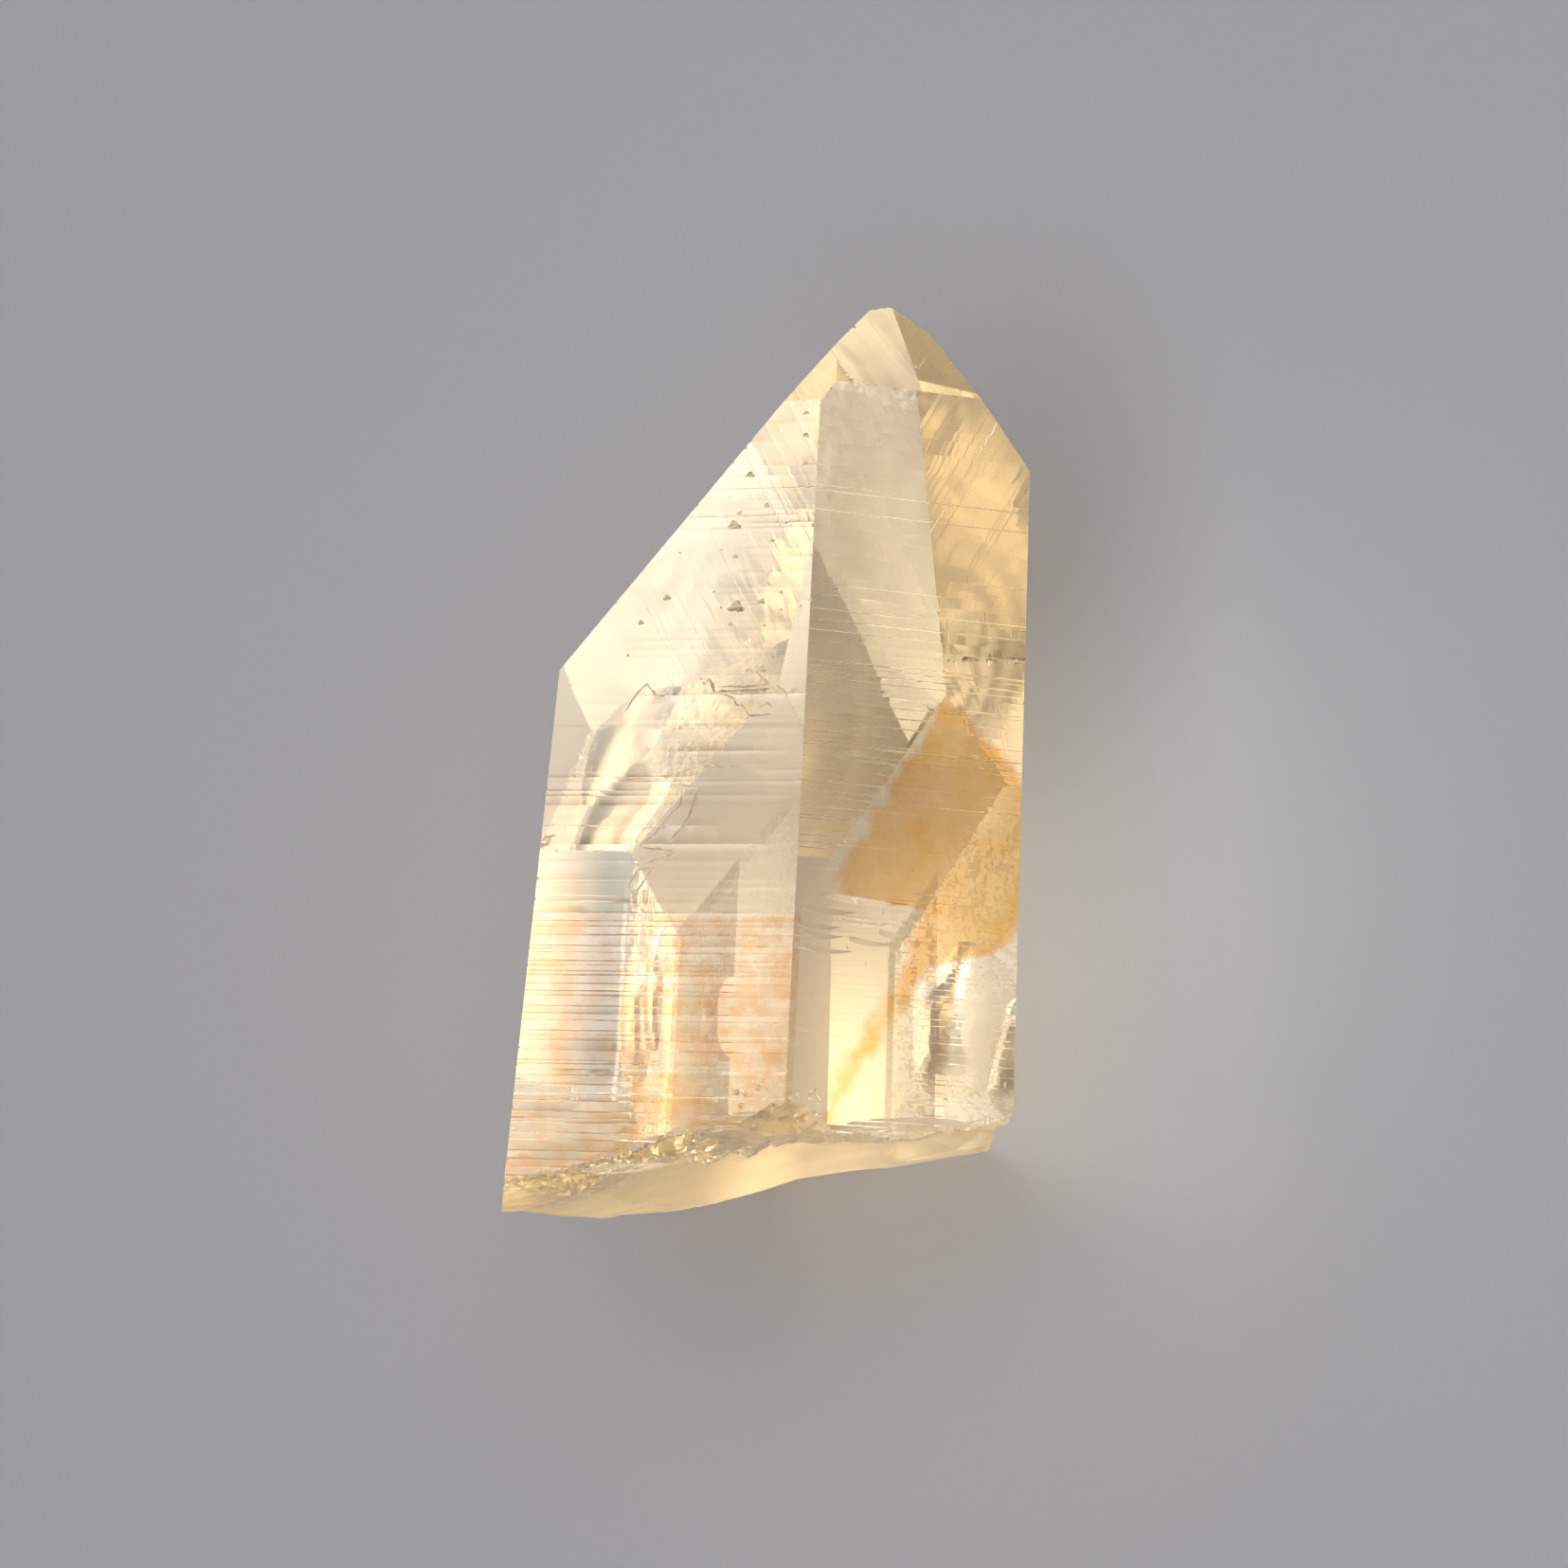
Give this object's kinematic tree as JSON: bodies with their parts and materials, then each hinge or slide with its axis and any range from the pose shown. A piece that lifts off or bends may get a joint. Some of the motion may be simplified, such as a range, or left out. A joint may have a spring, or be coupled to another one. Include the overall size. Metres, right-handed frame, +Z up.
{
  "type": "quartz crystal point",
  "caption": "Clear, golden-tinted natural quartz point with tapering six-sided sides, a slanting faceted tip and a broken base, lying on one prism face.",
  "frame": {"origin": "centre of the bounding box's bottom, on the surface the crystal lies on", "axes": "+Z up from the resting face, +Y along the crystal towards its tip"},
  "size_m": [0.0348, 0.053, 0.0325],
  "materials": {
    "quartz": "clear natural crystal faces, fine striations, golden iron stain"
  },
  "bodies": {
    "root": {"crystal": "quartz"}
  },
  "joints": []
}
